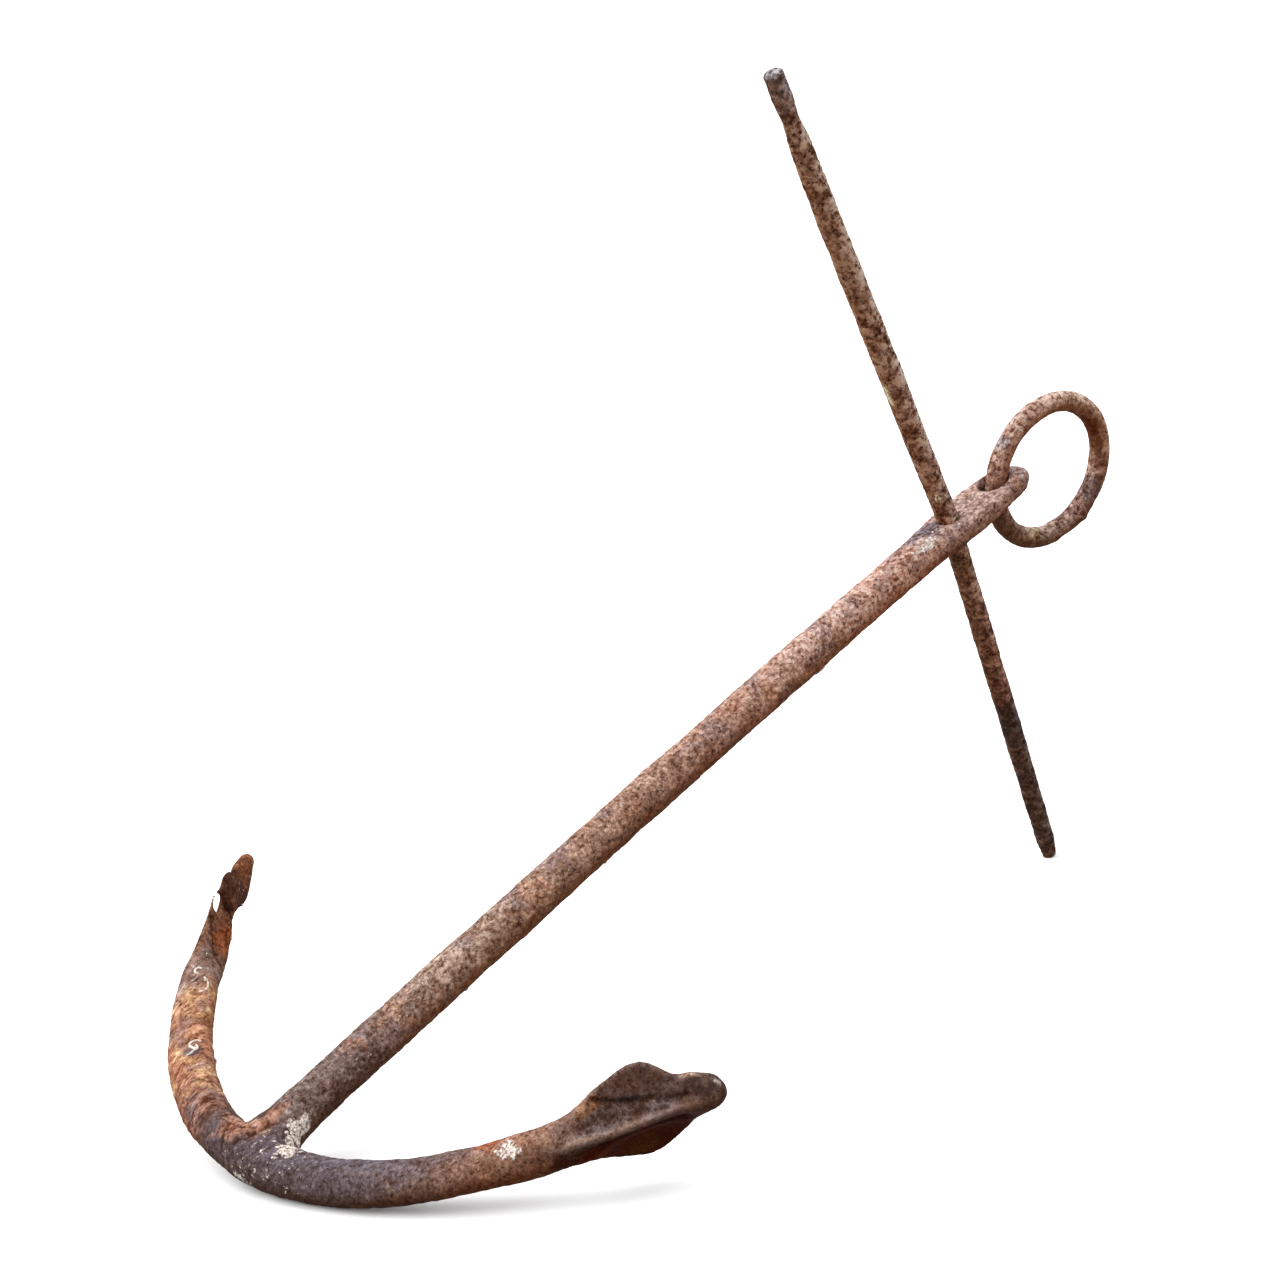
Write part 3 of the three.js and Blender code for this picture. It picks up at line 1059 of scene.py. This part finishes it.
    def roughen(self, piece: Piece) -> None:
        """Pits, flakes, crust and creases."""
        local = self.axes.local(points_of(piece))
        x, y = local[:, 0], local[:, 1]
        eye = self.off_eye(local)
        palms = smooth(np.abs(y), 246, 262)
        shank = smooth(x, 40, 90) * (1 - self.arms(local)) * eye
        flaky = self.flaky(local)
        Relief(Grain.PITS, 7, 0.95, mid=0.75, stops=((0.0, 0.0), (0.4, 0.75), (1.0, 0.8))).press(piece, shank)
        Relief(Grain.SWELLS, 9, 0.6, fine=4).press(piece, eye * (1 - 0.5 * palms))
        Relief(Grain.SWELLS, 4, 0.8).press(piece, eye * (1 - 0.55 * palms))
        self.ripple(piece, local, flaky)
        Relief(Grain.SWELLS, 4.5, 2.4, mid=0.42, fine=3).press(piece, self.limy(local))
        for crease in self.creases:
            crease.press(piece, self.axes)

    def ripple(self, piece: Piece, local: Array, flaky: Array) -> None:
        """Raises flakes with steep lower edges, drawn out round the bar."""
        way = self.along_arm(local)
        waves = rough_field(way, 8 * MM, 3, 3.0)
        steps = np.floor(waves * 4) / 4 + 0.35 * rough_field(way, 3 * MM, 2, 8.0)
        push_out(piece, self.flake_height * flaky * steps)

    def colour(self, paint: Paint) -> None:
        """Runs of colour up the shank and out along both arms, with the main stains."""
        x, y, z = paint.local.T
        paint.way = self.along_arm(paint.local)
        paint.mask(Mask.FLAKES, self.flaky(paint.local))
        arms = self.arms(paint.local)
        paint.shade_along(x, self.shank_run)
        paint.shade_along(-y, self.sound_run, arms * smooth(y, 0, -10))
        paint.shade_along(y, self.broken_run, arms * smooth(y, 0, 10))
        crown = smooth(x, 40, 14) * smooth(np.abs(y), 46, 30)
        paint.shade_along(x, self.crown_run, crown)
        left = smooth(y, 34, 60)
        bar = smooth(x, 60, 120) * (1 - arms)
        paint.mingle(0xAE8763, 26, 0.42, 0.8 * left * smooth(y, 216, 200), 2.0)
        paint.mingle(0x846559, 22, 0.2, 0.8 * left * smooth(y, 222, 206), 5.0)
        paint.mingle(0x9E6C50, 26, 0.2, 0.35 * bar, 7.0)
        paint.mingle(0x766566, 24, 0.28, 0.5 * bar, 9.0)
        paint.mingle(0x6C5546, 15, 0.35, 0.45 * smooth(-y, 246, 262), 13.0)
        paint.mingle(0x765C4C, 24, 0.25, 0.5 * smooth(y, -110, -150) * smooth(-y, 262, 236), 12.0)
        near_crown = smooth(np.hypot(x, 0.5 * y), 70, 30) * smooth(x, 40, 14)
        paint.mingle(0x52474A, 26, 0.4, 0.6 * near_crown, 15.0)
        palm = smooth(-y, 215, 250)
        paint.mask(Mask.CALM, 0.2 + 0.04 * arms + 0.1 * arms * smooth(y, 0, -20) + 0.12 * palm)
        paint.mask(Mask.CALM, 0.65 * palm * smooth(z, -6, -12))
        paint.mask(Mask.LIME, self.crust_lime * self.limy(paint.local))
        flecked = smooth(np.hypot(x - 2, 0.45 * (y + 40)), 46, 20) * smooth(x, 34, 20)
        paint.mask(Mask.LIME, self.crown_lime * flecked)
        paint.mask(Mask.LIME, self.arm_lime * smooth(np.hypot(x - 118, y - 226), 24, 10))
        for line in self.scratches:
            paint.mask(Mask.LIME, self.scratch_lime * smooth(line_distance(line, paint.local), 2.6, 0.6))


@dataclass
class Stock(IronPiece):
    """The rod through the shank: thick, broken scale, with a knob and a neck at the upper end."""

    node: str = "stock"
    name: str = "stock_rod"
    body: str = "anchor"
    slot: str = "stock_iron"
    voxel: float = 0.95
    settle: int = 3
    finish: RustFinish = RustFinish(
        "stock_rust",
        coarse=9,
        fine=4.6,
        coarse_share=0.5,
        contrast=1.8,
        pits=0.8,
        lime=srgb(0xF4E4BE),
        lime_shade=srgb(0xBAA07A),
    )
    broad_relief: tuple[Relief, ...] = (Relief(Grain.SWELLS, 32, 1.3, fine=1),)
    fine_relief: tuple[Relief, ...] = (
        Relief(Grain.PITS, 8, 1.3, mid=0.7, stops=((0.0, 0.0), (0.4, 0.7), (1.0, 0.85))),
        Relief(Grain.SWELLS, 5, 1.2, fine=4),
    )
    lumps: tuple[Lump, ...] = (Lump((821.4, -4.6, 449), 11, 2.2), Lump((821, -4.2, 406), 15, -1.1))
    stains_and_painted_light: tuple[Streak, ...] = (
        Streak(0xFFFFEE, ((811, -2, 154), (810, -1, 147), (811, -2, 138)), 3.2, 1.0),
    )
    # Painted top light for the stock, weaker than the forging's.
    top_light_gain: Colour = (1.0, 1.08, 1.18)
    # Painted shade: how much the stock's far side is darkened.
    far_side_painted_shade: float = 0.32
    lime_line: tuple[Point, ...] = ((811, -2, 155), (810, 0, 147), (811, -2, 137))
    lime_fleck: ColourPatch = ColourPatch(0x000000, (812, -8, 36), (5, 4, 6))
    run: Run = (
        (-395, 0x756A68), (-250, 0x726563), (-225, 0x5D575B), (-205, 0x65595A), (-185, 0x93756A),
        (-20, 0x98847A), (30, 0xA7928B), (250, 0xB9A599), (400, 0xA9958B), (418, 0x948687), (440, 0x857C7F),
        (449, 0x7C7576),
    )

    def colour(self, paint: Paint) -> None:
        """Darkest below the shank, greyer at the upper end, and darker, as painted shade, and plainer on the
        far side.
        """
        x, y, height = paint.local.T
        paint.shade_along(height, self.run)
        far = smooth(0.48 * (x - 820) + 0.88 * y, 1, 8)
        # Painted shade on the far side of the stock.
        paint.tint *= 1 - self.far_side_painted_shade * far[:, None]
        paint.mask(Mask.CALM, 0.3 * far)
        off_line = line_distance(self.lime_line, paint.local)
        paint.mask(Mask.CALM, 0.9 * smooth(off_line, 6, 2))
        paint.mask(Mask.LIME, 0.62 * smooth(off_line, 4.5, 1.2))
        paint.mask(Mask.LIME, 0.5 * self.lime_fleck.weight(paint.local, paint.rough))


@dataclass
class Ring(IronPiece):
    """The ring in the eye: worn, lumpy wire with a burr and a flat beside it."""

    node: str = "ring"
    name: str = "ring_hoop"
    body: str = "ring"
    slot: str = "ring_iron"
    voxel: float = 0.85
    settle: int = 6
    finish: RustFinish = RustFinish("ring_rust", coarse=13, fine=4.2, coarse_share=0.3, pits=0.4)
    broad_relief: tuple[Relief, ...] = (Relief(Grain.SWELLS, 26, 1.3, fine=1),)
    fine_relief: tuple[Relief, ...] = (Relief(Grain.SWELLS, 8, 0.8, fine=3), Relief(Grain.SWELLS, 3.5, 0.6))
    lumps: tuple[Lump, ...] = (
        Lump((958, -2, -87), 3.4, 2.6),
        Lump((936, -1, -92), 9, -1.6),
        Lump((976, -2, -72), 10, -1.2),
    )
    run: Run = (
        (-66, 0x867268), (-20, 0x8E7065), (20, 0xB89A8B), (60, 0xAF9283),
    )
    stains_and_painted_light: tuple[ColourPatch, ...] = (
        ColourPatch(0x846151, (996, -6, -30), (14, 12, 34), 0.7),
        ColourPatch(0x9E9195, (898, -8, 37), (8, 9, 7), 0.9, 0.25),
        ColourPatch(0xCEB0A2, (891, -11, 25), (8, 9, 8), 0.85, 0.25),
        ColourPatch(0x846254, (934, -18, 46), (10, 9, 7), 0.8, 0.25),
        ColourPatch(0xC4A294, (958, -18, 44), (10, 8, 6), 0.8, 0.25),
        ColourPatch(0x7C4A36, (990, -12, -8), (8, 9, 15), 0.8, 0.25),
        ColourPatch(0x644E46, (891, 0, -50), (9, 9, 8), 0.8, 0.25),
        ColourPatch(0xA08C6E, (903, 0, -65), (8, 9, 7), 0.8, 0.25),
        ColourPatch(0x7F7070, (975, -6, -68), (12, 10, 16), 0.8),
    )

    def colour(self, paint: Paint) -> None:
        """Tan above, brown below."""
        x, _, z = paint.local.T
        paint.shade_along(0.6 * (x - 940) + 0.78 * (z + 23), self.run)


# ---- What the sea left ----


@dataclass(frozen=True)
class WormTube:
    """A limy tube lying on the iron: a chain of arcs, each a radius in millimetres and a sweep in degrees."""

    at: Point
    heading: float
    arcs: tuple[tuple[float, float], ...]
    bore: float = 0.95

    def build(self, surface: BVHTree, axes: AnchorAxes) -> Piece:
        """Sweeps the tube in its tangent plane and lays it down on the surface.

        Args:
            surface: The iron under it.
            axes: The anchor's axes.

        Returns:
            The tube.
        """
        place, normal, _, _ = surface.find_nearest(axes.place(self.at))
        side = normal.orthogonal().normalized()
        side.rotate(Quaternion(normal, math.radians(self.heading)))
        heading = normal.cross(side)
        turn = heading.to_track_quat("Z", "Y").to_euler()
        bpy.ops.mesh.primitive_circle_add(
            vertices=8, radius=self.bore * MM, fill_type="NGON", location=place, rotation=turn
        )
        tube = bpy.context.active_object
        bpy.ops.object.transform_apply()
        bpy.ops.object.mode_set(mode="EDIT")
        bpy.ops.mesh.select_all(action="SELECT")
        end = place.copy()
        for radius, sweep in self.arcs:
            toward = side if sweep > 0 else -side
            centre = end + toward * radius * MM
            angle = -math.radians(sweep)
            bpy.ops.mesh.spin(steps=max(4, int(abs(sweep) / 18)), angle=angle, center=centre, axis=normal)
            turned = Quaternion(normal, angle)
            end = centre + turned @ (end - centre)
            side = turned @ side
        bpy.ops.mesh.select_all(action="SELECT")
        bpy.ops.mesh.normals_make_consistent()
        bpy.ops.object.mode_set(mode="OBJECT")
        self.settle(tube, surface, place, normal)
        return tube

    def settle(self, tube: Piece, surface: BVHTree, place: Vector, normal: Vector) -> None:
        """Drops each point of the tube on to the surface, keeping its height above it."""
        points = points_of(tube)
        for row, point in enumerate(points):
            spot = Vector(point)
            height = (spot - place).dot(normal)
            flat = spot - normal * height
            under, _, _, _ = surface.ray_cast(flat + normal * 12 * MM, -normal)
            if under is None:
                under = surface.find_nearest(flat)[0]
            points[row] = under + normal * (height + 0.3 * self.bore * MM)
        put_points(tube, points)


@dataclass
class SeaGrowth:
    """Worm tubes and small barnacles, in one piece that rides the anchor."""

    axes: AnchorAxes
    name: str = "sea_growth"
    pale: Colour = srgb(0xE4DACF)
    stained: Colour = srgb(0xBEA894)
    tubes: tuple[WormTube, ...] = (
        WormTube((110, 219, 13), 150, ((3.4, 210), (7, -60))),
        WormTube((103, 206, 11), 60, ((4, 90), (3, -120)), 0.8),
        WormTube((56, 144, 9), 150, ((5.4, 230),), 1.2),
        WormTube((46, 137, 12), 40, ((4, 120), (5, -80)), 1.0),
        WormTube((150, -120, 0), 90, ((5, 140),)),
        WormTube((60, 120, -18), 10, ((6, 160), (5, -120))),
        WormTube((20, 90, -18), 70, ((5, 200), (9, -60))),
        WormTube((220, 4, -16), 20, ((6, 150), (5, -120), (7, 90))),
        WormTube((420, 10, -16), 120, ((5, 170), (7, -90))),
        WormTube((60, -170, -16), 30, ((6, 160), (5, -140))),
        WormTube((640, -6, -16), 60, ((5, 190), (6, -70))),
    )
    beds: tuple[Cluster, ...] = (
        Cluster((35, -26, 4), (6, 4, 5), 8, 2.3, 11),
        Cluster((12, -52, 14), (7, 12, 4), 7, 2.0, 12),
        Cluster((0, -40, -19), (10, 40, 5), 10, 2.6, 13),
        Cluster((784, -10, 12), (10, 5, 3), 4, 1.7, 14),
        Cluster((855, 2, 9), (1, 1, 1), 1, 1.8, 15),
        Cluster((300, 6, -16), (120, 8, 5), 8, 2.4, 16),
        Cluster((150, 250, -10), (24, 10, 8), 4, 2.2, 17),
        Cluster((120, -236, -16), (30, 16, 4), 7, 2.4, 18),
    )

    def build(self, iron: Piece) -> Piece:
        """Builds the growth on the finished forging.

        Args:
            iron: The forging.

        Returns:
            The piece.
        """
        surface = surface_of(iron)
        parts = [tube.build(surface, self.axes) for tube in self.tubes]
        parts += self.barnacles(surface)
        piece = join(parts, self.name)
        keep_above_floor(piece)
        dress(piece, self.name, LimeFinish("sea_lime", self.pale, self.stained).material())
        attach(piece, "anchor")
        return piece

    def barnacle(self) -> Piece:
        """One barnacle of unit radius: a ribbed cone with a sunk mouth."""
        bpy.ops.mesh.primitive_cone_add(vertices=12, radius1=1, radius2=0.5, depth=0.8, location=(0, 0, 0.2))
        cone = bpy.context.active_object
        bpy.ops.object.transform_apply()
        bpy.ops.object.mode_set(mode="EDIT")
        bpy.ops.mesh.select_all(action="DESELECT")
        bpy.ops.object.mode_set(mode="OBJECT")
        top = max(cone.data.polygons, key=lambda face: face.center.z)
        top.select = True
        bpy.ops.object.mode_set(mode="EDIT")
        bpy.ops.mesh.select_mode(type="FACE")
        bpy.ops.mesh.inset(thickness=0.12)
        bpy.ops.mesh.extrude_region_move(TRANSFORM_OT_translate={"value": (0, 0, -0.4)})
        bpy.ops.object.mode_set(mode="OBJECT")
        points = points_of(cone)
        rib = 1 + 0.1 * np.cos(6 * np.arctan2(points[:, 1], points[:, 0]))
        points[:, :2] *= rib[:, None]
        put_points(cone, points)
        return cone

    def barnacles(self, surface: BVHTree) -> list[Piece]:
        """Sets copies of one barnacle in every bed.

        Args:
            surface: The iron under them.

        Returns:
            The barnacles.
        """
        model = self.barnacle()
        placed = []
        for bed in self.beds:
            for dice, place, turn in bed.footings(surface, self.axes):
                size = bed.size * dice.uniform(0.6, 1.15) * MM
                scale = Vector((1, dice.uniform(0.75, 1), dice.uniform(0.5, 0.9))) * size
                placed.append(place_copy(model, place, turn, scale))
        bpy.data.objects.remove(model)
        return placed


# ---- The room ----


@dataclass
class Room:
    """A pale floor, a soft bright dome, a soft sun and the camera, placed from the anchor's own axes."""

    axes: AnchorAxes
    floor_span: float = 400.0
    floor_colour: Colour = (0.95, 0.95, 0.95)
    camera_place: Point = (-514.91, -1870.59, 1352.06)
    camera_right: Point = (0.690798, -0.618974, -0.373723)
    camera_up: Point = (0.594675, 0.192362, 0.780614)
    lens: float = 85.96
    sensor: float = 36.0
    far: float = 1000.0
    sky: float = 1.42
    ground: float = 0.1
    horizon: tuple[float, float] = (-0.2, 0.0)
    sun_from: Point = (-0.55, 0.4, 0.74)
    sun_energy: float = 1.6
    sun_spread: float = 60.0

    def build(self) -> None:
        """Sets up the room."""
        self.floor()
        self.dome()
        self.key_light()
        self.camera()
        bpy.context.scene.view_settings.view_transform = "Standard"

    def floor(self) -> None:
        """A wide plane that throws no light back on the undersides."""
        bpy.ops.mesh.primitive_plane_add(size=self.floor_span)
        floor = bpy.context.active_object
        floor.name = "studio_floor"
        floor.data.materials.append(PlainFinish("floor_paint", self.floor_colour).material())
        floor.visible_diffuse = False

    def dome(self) -> None:
        """Soft light that falls off towards the ground."""
        world = bpy.data.worlds.new("studio_dome")
        bpy.context.scene.world = world
        g = Graph(world, "Generated")
        height = g.node("SeparateXYZ", {0: g.place}, "Z")
        strength = g.span(height, self.horizon, (self.ground, self.sky))
        g.end("World", g.node("Background", {"Color": (1.0, 1.0, 1.0), "Strength": strength}))

    def key_light(self) -> None:
        """A soft sun from above and behind the left of the camera's view."""
        turn = Vector(self.sun_from).to_track_quat("Z", "Y").to_euler()
        bpy.ops.object.light_add(type="SUN", rotation=turn)
        sun = bpy.context.active_object
        sun.name = "soft_key"
        sun.data.energy = self.sun_energy
        sun.data.angle = math.radians(self.sun_spread)

    def camera(self) -> None:
        """Adds the camera."""
        right = self.axes.direction(self.camera_right)
        up = self.axes.direction(self.camera_up)
        turn = Matrix((right, up, right.cross(up))).transposed().to_euler()
        bpy.ops.object.camera_add(location=self.axes.place(self.camera_place), rotation=turn)
        camera = bpy.context.active_object
        camera.data.lens = self.lens
        camera.data.sensor_width = self.sensor
        camera.data.clip_end = self.far
        bpy.context.scene.camera = camera


def main() -> None:
    """Builds the anchor's looks and the room."""
    logging.basicConfig(level=logging.INFO, format="%(message)s")
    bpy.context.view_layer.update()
    clear_selection()
    axes = AnchorAxes.from_joint(frame["joints"][0])
    forging = Forging(axes).build()
    Stock(axes).build()
    Ring(axes).build()
    SeaGrowth(axes).build(forging)
    Room(axes).build()


if __name__ == "__main__":
    main()
